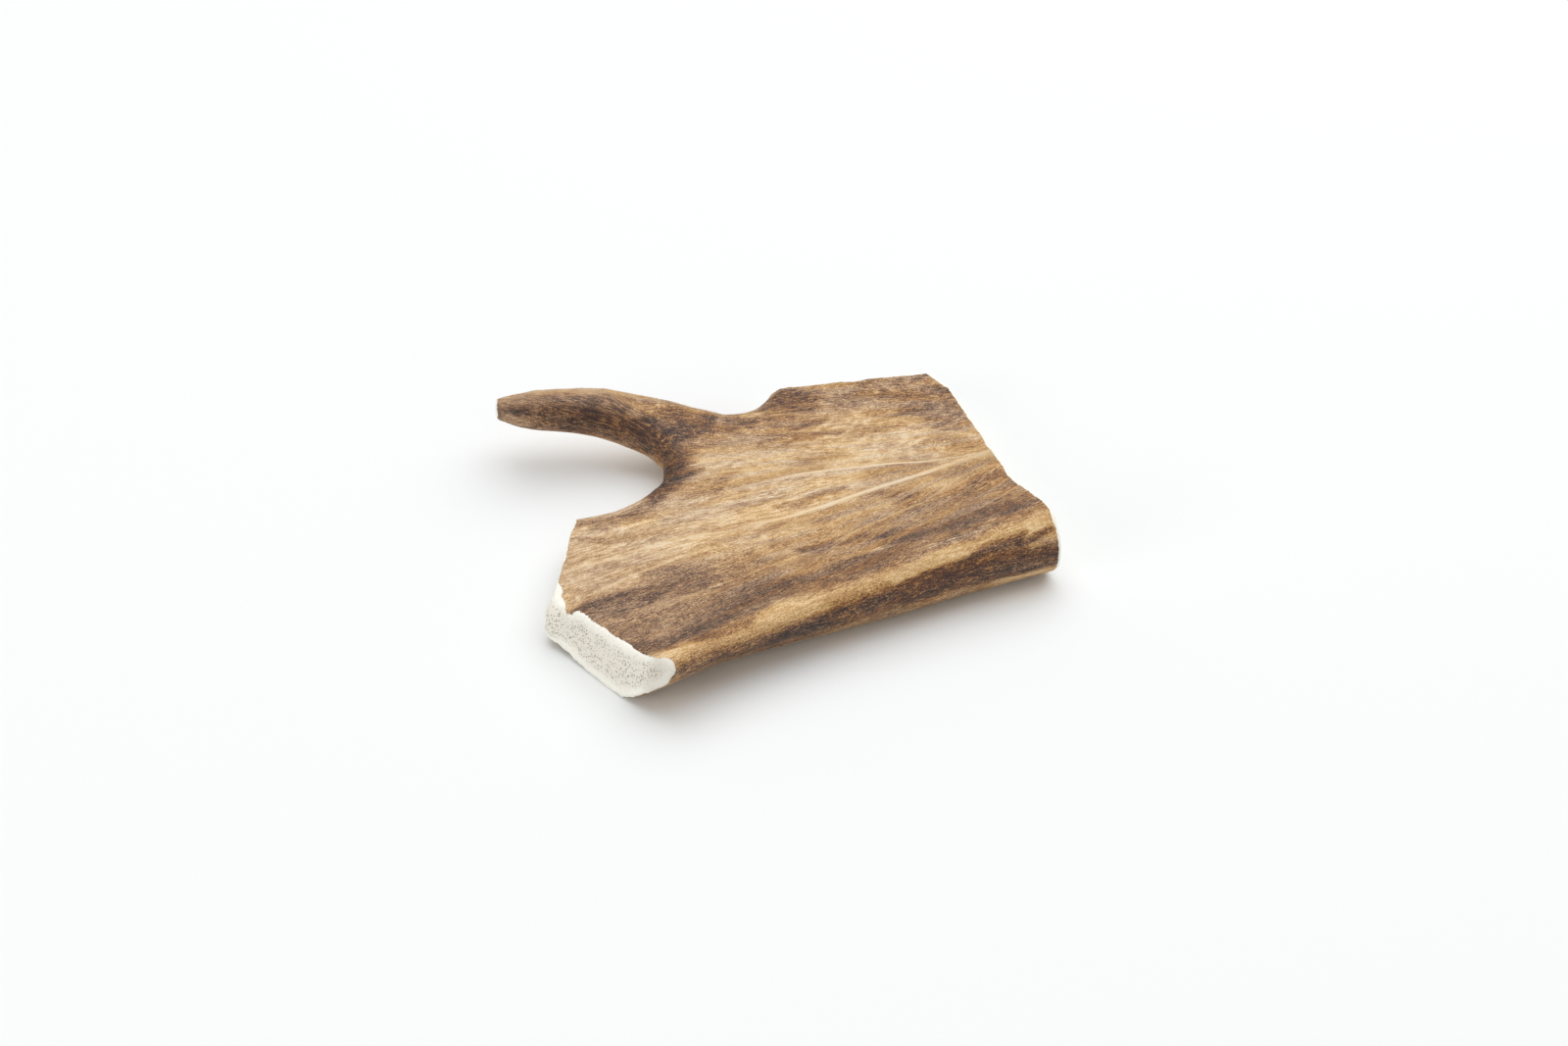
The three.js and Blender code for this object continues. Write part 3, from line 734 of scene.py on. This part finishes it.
ANTLER_IOR = 1.54
BARK_ROUGHNESS = 0.56
SPECK_ROUGHNESS = 0.5     # how much specks change it
BONE_ROUGHNESS = 0.22     # how much rougher the cuts are
FIBRE_BUMP = 0.28         # heights in millimetres
SPECK_BUMP = 0.10
RIDGE_BUMP = 0.12
PORE_BUMP = -0.3
BUMP_STRENGTH = 0.8
STEP = {"interpolation_type": "SMOOTHSTEP"}


def linear(code):
    """An sRGB hex colour as linear RGBA."""
    channels = [int(code[i:i + 2], 16) / 255 for i in (1, 3, 5)]
    return [c / 12.92 if c <= 0.04045 else ((c + 0.055) / 1.055) ** 2.4 for c in channels] + [1.0]


def add(tree, kind, inputs=(), stops=(), **settings):
    """Adds a node with its settings and colour stops, sets or links its inputs, which are listed in order or
    by name, and gives back its outputs."""
    node = tree.nodes.new("ShaderNode" + kind)
    for key, value in settings.items():
        setattr(node, key, value)
    for key, value in inputs.items() if isinstance(inputs, dict) else enumerate(inputs):
        if isinstance(value, bpy.types.NodeSocket):
            tree.links.new(value, node.inputs[key])
        else:
            node.inputs[key].default_value = value
    if stops:
        elements = node.color_ramp.elements
        while len(elements) < len(stops):
            elements.new(0.5)
        for element, (position, code) in zip(elements, stops):
            element.position = position
            element.color = linear(code)
    return node.outputs


def weighted(node, patterns, weights):
    """The patterns' sum by weight, each measured from its middle value of 0.5."""
    total = -0.5 * sum(weights.values())
    for name, weight in weights.items():
        total = node("Math", [patterns[name], weight, total], operation="MULTIPLY_ADD")[0]
    return total


def antler_patterns(node, plain, grain):
    """Each pattern's value, from 0 to 1, where the plain coordinates are the place in millimetres."""
    patterns = {}
    for name, (along_grain, scale, detail, roughness, distortion) in PATTERNS.items():
        scaled = node("Mapping", {"Vector": grain if along_grain else plain, "Scale": scale})[0]
        patterns[name] = node("TexNoise", {"Vector": scaled, "Scale": 1.0, "Detail": detail,
                                           "Roughness": roughness, "Distortion": distortion})["Fac"]
    return patterns


def ragged_stain_and_light(node, kind, ragged):
    """A stroke's strength, stain and painted light alike, with a ragged edge: where it is 0 or 1 it stays so.
    """
    strength = node("Attribute", attribute_name=kind)["Fac"]
    rest = node("Math", [1.0, strength], operation="SUBTRACT")[0]
    edge = node("Math", [strength, rest], operation="MULTIPLY")[0]
    torn = node("Math", [ragged, edge], operation="MULTIPLY")[0]
    return node("Math", [torn, STAIN_AND_LIGHT_FRAY, strength], operation="MULTIPLY_ADD", use_clamp=True)[0]


def ridge_lines(node, patterns):
    """How strongly the pale ridges show, with edges that the fibres fray."""
    fray = node("Math", [patterns["fibres"], 0.5], operation="SUBTRACT")[0]
    strongest = 0.0
    for name, _, _, _ in RIDGES:
        field = node("Attribute", attribute_name="ridge " + name)["Vector"]
        distance, stands, _ = node("SeparateXYZ", [field])
        frayed = node("Math", [fray, RIDGE_FRAY, distance], operation="MULTIPLY_ADD")[0]
        away = node("Math", [frayed], operation="ABSOLUTE")[0]
        line = node("MapRange", [away, *RIDGE_SIDE], **STEP)[0]
        line = node("Math", [line, stands], operation="MULTIPLY")[0]
        strongest = node("Math", [strongest, line], operation="MAXIMUM")[0]
    return strongest


def bark_tone(node, patterns, stains_and_light, grain, ridge):
    along, across, _ = node("SeparateXYZ", [grain])
    tone = BARK_TONE
    for kind, target in STAIN_AND_LIGHT_TONES.items():
        change = node("Math", [target, tone], operation="SUBTRACT")[0]
        tone = node("Math", [change, stains_and_light[kind], tone], operation="MULTIPLY_ADD")[0]

    behind_palm = node("MapRange", [across, *TINE_ACROSS], **STEP)[0]
    beyond_notch = node("MapRange", [along, *TINE_ALONG], **STEP)[0]
    on_tine = node("Math", [behind_palm, beyond_notch], operation="MULTIPLY")[0]
    back = node("MapRange", [across, *BACK_ACROSS], **STEP)[0]
    at_back = node("Math", [back, on_tine], operation="SUBTRACT")[0]
    change = weighted(node, patterns, BARK_PATTERN)
    for weights, share in ((MORE_ON_TINE, on_tine), (MORE_AT_BACK, at_back)):
        more = weighted(node, patterns, weights)
        change = node("Math", [more, share, change], operation="MULTIPLY_ADD")[0]

    # The patterns are stronger in the dark strokes, stain and painted shade alike, and weaker in the pale
    # ones.
    darkest = node("Math", [stains_and_light["brown"], stains_and_light["dark"]], operation="MAXIMUM")[0]
    contrast = node("Math", [darkest, 0.6, 1.0], operation="MULTIPLY_ADD")[0]
    contrast = node("Math", [stains_and_light["pale"], -0.3, contrast], operation="MULTIPLY_ADD")[0]
    tone = node("Math", [change, contrast, tone], operation="MULTIPLY_ADD")[0]

    change = node("Math", [RIDGE_TONE, tone], operation="SUBTRACT")[0]
    ridge_share = node("Math", [ridge, 0.95], operation="MULTIPLY")[0]
    return node("Math", [change, ridge_share, tone], operation="MULTIPLY_ADD")[0]


def bark_colour(node, patterns, grain, ridge):
    ragged = weighted(node, patterns, RAGGED_STAIN_AND_LIGHT)
    stains_and_light = {kind: ragged_stain_and_light(node, kind, ragged) for kind in STAIN_AND_LIGHT_TONES}
    tone = bark_tone(node, patterns, stains_and_light, grain, ridge)
    bark = node("ValToRGB", [tone], BARK_COLOURS)[0]
    golden = node("ValToRGB", [tone], GOLDEN_COLOURS)[0]
    share = node("Math", [stains_and_light["gold"], 0.9], operation="MULTIPLY")[0]
    bark = node("Mix", {0: share, 6: bark, 7: golden}, data_type="RGBA")[2]
    # The bark is greyer at the palm end.
    along = node("SeparateXYZ", [grain])[0]
    beam_side = node("MapRange", [along, *BEAM_ALONG], **STEP)[0]
    warmth = node("Math", [beam_side, 0.5, 0.35], operation="MULTIPLY_ADD")[0]
    rust = node("MapRange", [patterns["rust"], *RUST_PATCH], **STEP)[0]
    share = node("Math", [rust, warmth], operation="MULTIPLY")[0]
    return node("Mix", {0: share, 6: bark, 7: golden}, data_type="RGBA")[2]


def bone_pores(node, patterns, plain, inside):
    """How much of a pore each place on the cuts is. Most lie in the core, and in its dense patches."""
    distance = node("TexVoronoi", {"Vector": plain, "Scale": PORE_SCALE})["Distance"]
    hole = node("MapRange", [distance, *PORE_EDGE], **STEP)[0]
    dense = node("MapRange", [patterns["dense"], *DENSE_PATCH], **STEP)[0]
    density = node("Math", [dense, 0.65, 0.35], operation="MULTIPLY_ADD")[0]
    pore = node("Math", [hole, inside], operation="MULTIPLY")[0]
    return node("Math", [pore, density], operation="MULTIPLY")[0]


def bone_colour(node, patterns, plain, grain, inside, pore):
    bone = node("Mix", {0: inside, 6: linear(RIM_COLOUR), 7: linear(CORE_COLOUR)}, data_type="RGBA")[2]
    grit = node("MapRange", [patterns["grit"], *GRIT_GRAIN], **STEP)[0]
    # The thin tip of the palm end is greyer than the rest.
    along = node("SeparateXYZ", [grain])[0]
    across = node("SeparateXYZ", [plain])[1]
    ragged = weighted(node, patterns, RAGGED_TIP)
    forward = node("Math", [across, -1.0, ragged], operation="MULTIPLY_ADD")[0]
    thin = node("MapRange", [forward, *TIP_FRONT], **STEP)[0]
    palm_side = node("MapRange", [along, *TIP_ALONG], **STEP)[0]
    tip = node("Math", [thin, palm_side], operation="MULTIPLY")[0]
    marks = ((grit, 0.35, GRIT_COLOUR), (pore, 0.9, PORE_COLOUR), (tip, 0.35, TIP_COLOUR))
    for mark, strength, colour in marks:
        share = node("Math", [mark, strength], operation="MULTIPLY")[0]
        bone = node("Mix", {0: share, 6: bone, 7: linear(colour)}, data_type="RGBA")[2]
    return bone


def antler_material():
    """Fallow antler, rubbed smooth in use: stained bark with streaks along the grain, and creamy bone with a
    porous core where the saw has gone through. The bark has a soft satin sheen, and the cuts have none."""
    material = bpy.data.materials.new("antler_bark_and_sawn_bone")
    material.use_nodes = True
    material.node_tree.nodes.clear()
    node = functools.partial(add, material.node_tree)
    place = node("TexCoord")["Object"]
    plain = node("Mapping", {"Vector": place, "Scale": (1 / MM,) * 3})[0]
    grain = node("Attribute", attribute_name="grain")["Vector"]
    patterns = antler_patterns(node, plain, grain)
    ridge = ridge_lines(node, patterns)
    bark = bark_colour(node, patterns, grain, ridge)

    # Sawn bone has a dense rim about 2 mm wide, and a core inside it.
    rind = node("Attribute", attribute_name="rind")["Fac"]
    wander = node("Math", [patterns["blotches"], 0.5], operation="SUBTRACT")[0]
    rind = node("Math", [wander, RIM_WANDER, rind], operation="MULTIPLY_ADD")[0]
    inside = node("MapRange", [rind, *CORE_EDGE], **STEP)[0]
    pore = bone_pores(node, patterns, plain, inside)
    bone = bone_colour(node, patterns, plain, grain, inside, pore)

    depth = node("Attribute", attribute_name="saw_depth")["Fac"]
    worn = node("Attribute", attribute_name="worn")["Fac"]
    edge = node("Math", [depth, worn], operation="SUBTRACT")[0]
    edge = node("Math", [edge, weighted(node, patterns, RAGGED_CUT)], operation="ADD")[0]
    sawn = node("MapRange", [edge, *CUT_EDGE], **STEP)[0]
    colour = node("Mix", {0: sawn, 6: bark, 7: bone}, data_type="RGBA")[2]

    speckle = node("Math", [patterns["specks"], 0.5], operation="SUBTRACT")[0]
    satin = node("Math", [speckle, SPECK_ROUGHNESS, BARK_ROUGHNESS], operation="MULTIPLY_ADD")[0]
    roughness = node("Math", [sawn, BONE_ROUGHNESS, satin], operation="MULTIPLY_ADD", use_clamp=True)[0]

    # Fibres and specks stand out on the bark only, and pores are sunk in the bone only.
    height = node("Math", [patterns["specks"], SPECK_BUMP], operation="MULTIPLY")[0]
    height = node("Math", [patterns["fibres"], FIBRE_BUMP, height], operation="MULTIPLY_ADD")[0]
    uncut = node("Math", [1.0, sawn], operation="SUBTRACT")[0]
    height = node("Math", [height, uncut], operation="MULTIPLY")[0]
    height = node("Math", [ridge, RIDGE_BUMP, height], operation="MULTIPLY_ADD")[0]
    sawn_pore = node("Math", [pore, sawn], operation="MULTIPLY")[0]
    height = node("Math", [sawn_pore, PORE_BUMP, height], operation="MULTIPLY_ADD")[0]
    bump = node("Bump", {"Strength": BUMP_STRENGTH, "Distance": MM, "Height": height})[0]
    shader = node("BsdfPrincipled", {"Base Color": colour, "Roughness": roughness, "IOR": ANTLER_IOR,
                                     "Normal": bump})[0]
    node("OutputMaterial", {"Surface": shader})
    return material


def floor_material():
    """Matt white paper sweep: it only carries the soft shadow."""
    material = bpy.data.materials.new("white_paper")
    material.use_nodes = True
    shader = material.node_tree.nodes["Principled BSDF"]
    shader.inputs["Base Color"].default_value = linear(PAPER_COLOUR)
    shader.inputs["Roughness"].default_value = 0.9
    shader.inputs["Specular IOR Level"].default_value = 0.1
    return material


# ---- Stage -------------------------------------------------------------------------------------------------

CAMERA_AZIMUTH = -27
CAMERA_ELEVATION = 36
CAMERA_LENS = 80
CAMERA_SENSOR = 36
CAMERA_DISTANCE = 0.8889
CAMERA_TARGET = (1.138 * MM, -10.007 * MM, 8 * MM)
FLOOR_SIZE = 6

# Soft lights: size in metres, power in watts, azimuth, elevation and distance.
LIGHTS = [
    ("overhead_softbox", 3.2, 39, 125, 68, 2.0),
    ("low_fill", 1.0, 4.5, -76, 20, 1.5),
]
WORLD_LIGHT = 0.48


def direction(azimuth, elevation):
    a, e = math.radians(azimuth), math.radians(elevation)
    return Vector((math.sin(a) * math.cos(e), -math.cos(a) * math.cos(e), math.sin(e)))


def aimed(name, data, target, back, distance):
    item = bpy.data.objects.new(name, data)
    bpy.context.scene.collection.objects.link(item)
    item.location = Vector(target) + back * distance
    item.rotation_euler = (-back).to_track_quat("-Z", "Y").to_euler()
    return item


def make_stage():
    camera = bpy.data.cameras.new("camera")
    camera.lens = CAMERA_LENS
    camera.sensor_width = CAMERA_SENSOR
    bpy.context.scene.camera = aimed("camera", camera, CAMERA_TARGET,
                                     direction(CAMERA_AZIMUTH, CAMERA_ELEVATION), CAMERA_DISTANCE)
    bm = bmesh.new()
    bmesh.ops.create_grid(bm, x_segments=1, y_segments=1, size=FLOOR_SIZE)
    floor = mesh_object("floor", bm)
    floor.data.materials.append(floor_material())
    for name, size, power, azimuth, elevation, distance in LIGHTS:
        light = bpy.data.lights.new(name, "AREA")
        light.shape = "DISK"
        light.size = size
        light.energy = power
        aimed(name, light, (0, 0, 0), direction(azimuth, elevation), distance)
    world = bpy.data.worlds.new("white_studio")
    world.use_nodes = True
    background = world.node_tree.nodes["Background"]
    background.inputs["Color"].default_value = linear("#FFFFFF")
    background.inputs["Strength"].default_value = WORLD_LIGHT
    bpy.context.scene.world = world
    bpy.context.scene.view_settings.view_transform = "Standard"


make_stage()
antler = make_antler()
antler.data.materials.append(antler_material())
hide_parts("palm", "tine")
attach(antler, "root")
